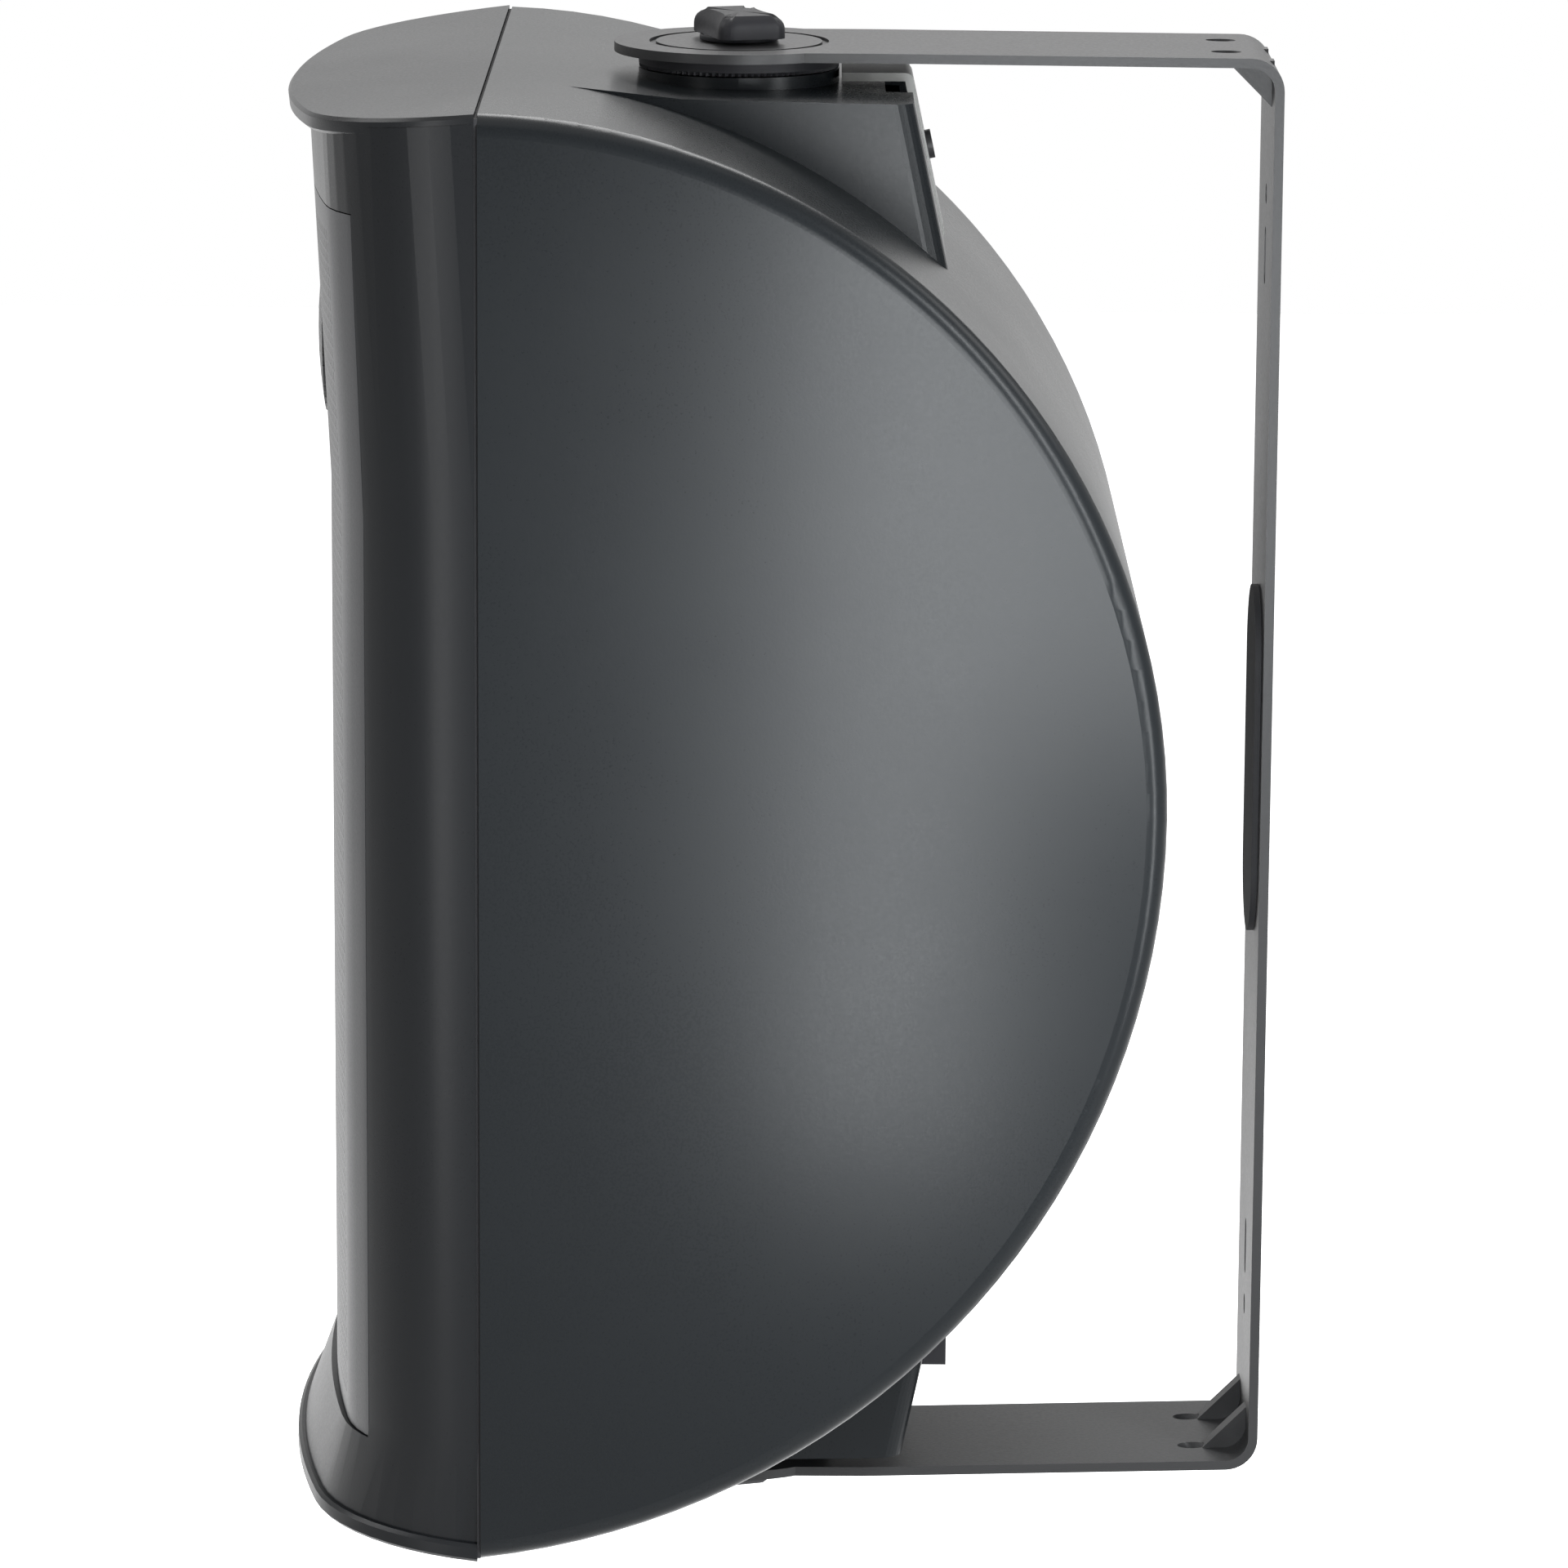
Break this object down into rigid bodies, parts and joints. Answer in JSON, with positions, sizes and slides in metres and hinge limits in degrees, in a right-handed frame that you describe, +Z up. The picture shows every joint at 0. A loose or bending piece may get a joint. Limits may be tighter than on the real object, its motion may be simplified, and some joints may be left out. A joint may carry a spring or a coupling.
{
  "type": "loudspeaker",
  "caption": "Two-way wall loudspeaker with a curved rear shell, swivelling between the arms of a steel C-shaped bracket and held by finger knobs at top and bottom.",
  "frame": {"origin": "middle of the wall plate's rear face", "axes": "+Z up, +Y into the wall, the speaker faces -Y, +X to the right as seen facing +Y"},
  "size_m": [0.225, 0.2373, 0.3658],
  "materials": {
    "cabinet_plastic": "fine satin charcoal moulding",
    "baffle_plastic": "fine satin charcoal moulding",
    "black_plastic": "matt black",
    "bracket_paint": "satin dark grey powder coat",
    "grille_paint": "black powder coat",
    "seal_rubber": "matt",
    "roll_rubber": "matt",
    "foam": "open foam",
    "steel": "zinc plated",
    "tab_steel": "satin grey",
    "brass": "turned",
    "ferrite": "matt dark ferrite",
    "cone_paper": "treated",
    "cap_paper": "treated",
    "spider_cloth": "varnished cloth",
    "former": "kapton-brown",
    "copper": "enamelled copper wire",
    "dome_cloth": "coated silk",
    "board": "solder mask",
    "film_blue": "sleeved",
    "white_ceramic": "cement",
    "red_plastic": "moulded",
    "wire_sleeve": "sleeved copper",
    "wadding": "polyester fibre"
  },
  "bodies": {
    "bracket": {"bracket": "bracket_paint", "bracket_pad": "seal_rubber", "top_washer": "black_plastic", "bottom_washer": "black_plastic"},
    "cabinet": {"rear_cabinet": "cabinet_plastic", "front_baffle": "baffle_plastic", "gasket_ring": "seal_rubber", "grille": "grille_paint", "grille_liner": "foam", "case_screws": "steel", "top_insert": "brass", "bottom_insert": "brass", "safety_tab": "tab_steel", "tab_screw": "steel", "woofer_basket": "black_plastic", "woofer_gasket": "seal_rubber", "woofer_surround": "roll_rubber", "spider": "spider_cloth", "woofer_top_plate": "steel", "woofer_magnet": "ferrite", "woofer_pole": "steel", "woofer_screws": "steel", "tweeter_faceplate": "black_plastic", "tweeter_surround": "dome_cloth", "tweeter_top_plate": "steel", "tweeter_magnet": "ferrite", "tweeter_pole": "steel", "tweeter_screws": "steel", "term_housing": "black_plastic", "term_posts": "brass", "crossover_board": "board", "crossover_screws": "steel", "woofer_choke": "copper", "tweeter_choke": "copper", "capacitors": "film_blue", "resistor": "white_ceramic", "input_wires": "wire_sleeve", "woofer_wires": "wire_sleeve", "tweeter_wires": "wire_sleeve", "damping_wadding": "wadding"},
    "top_knob": {"top_knob": "black_plastic"},
    "bottom_knob": {"bottom_knob": "black_plastic"},
    "woofer_cone": {"woofer_cone": "cone_paper", "dust_cap": "cap_paper", "coil_former": "former", "coil_winding": "copper"},
    "tweeter_dome": {"tweeter_dome": "dome_cloth"},
    "post_cap_plus": {"post_cap_plus": "red_plastic"},
    "post_cap_minus": {"post_cap_minus": "black_plastic"}
  },
  "joints": [
    {"name": "cabinet_swivel", "type": "hinge", "parent": "bracket", "child": "cabinet", "pos_m": [0, -0.1295, 0], "axis": [0, 0, 1], "range_deg": [-20, 20]},
    {"name": "top_knob_turn", "type": "hinge", "parent": "cabinet", "child": "top_knob", "pos_m": [0, -0.1295, 0.18], "axis": [0, 0, 1], "range_deg": [0, 350]},
    {"name": "bottom_knob_turn", "type": "hinge", "parent": "cabinet", "child": "bottom_knob", "pos_m": [0, -0.1295, -0.18], "axis": [0, 0, -1], "range_deg": [0, 350]},
    {"name": "woofer_travel", "type": "slide", "parent": "cabinet", "child": "woofer_cone", "axis": [0, -1, 0], "range_m": [-0.003, 0.003], "stiffness_N_per_m": 1100, "deforming": ["woofer_surround", "spider"]},
    {"name": "tweeter_travel", "type": "slide", "parent": "cabinet", "child": "tweeter_dome", "axis": [0, -1, 0], "range_m": [-0.0004, 0.0004], "stiffness_N_per_m": 600, "deforming": ["tweeter_surround"]},
    {"name": "plus_cap_turn", "type": "hinge", "parent": "cabinet", "child": "post_cap_plus", "pos_m": [0.0095, -0.092, -0.1288], "axis": [0, 1, 0], "range_deg": [-10, 350]},
    {"name": "minus_cap_turn", "type": "hinge", "parent": "cabinet", "child": "post_cap_minus", "pos_m": [-0.0095, -0.092, -0.1288], "axis": [0, 1, 0], "range_deg": [-10, 350]}
  ]
}
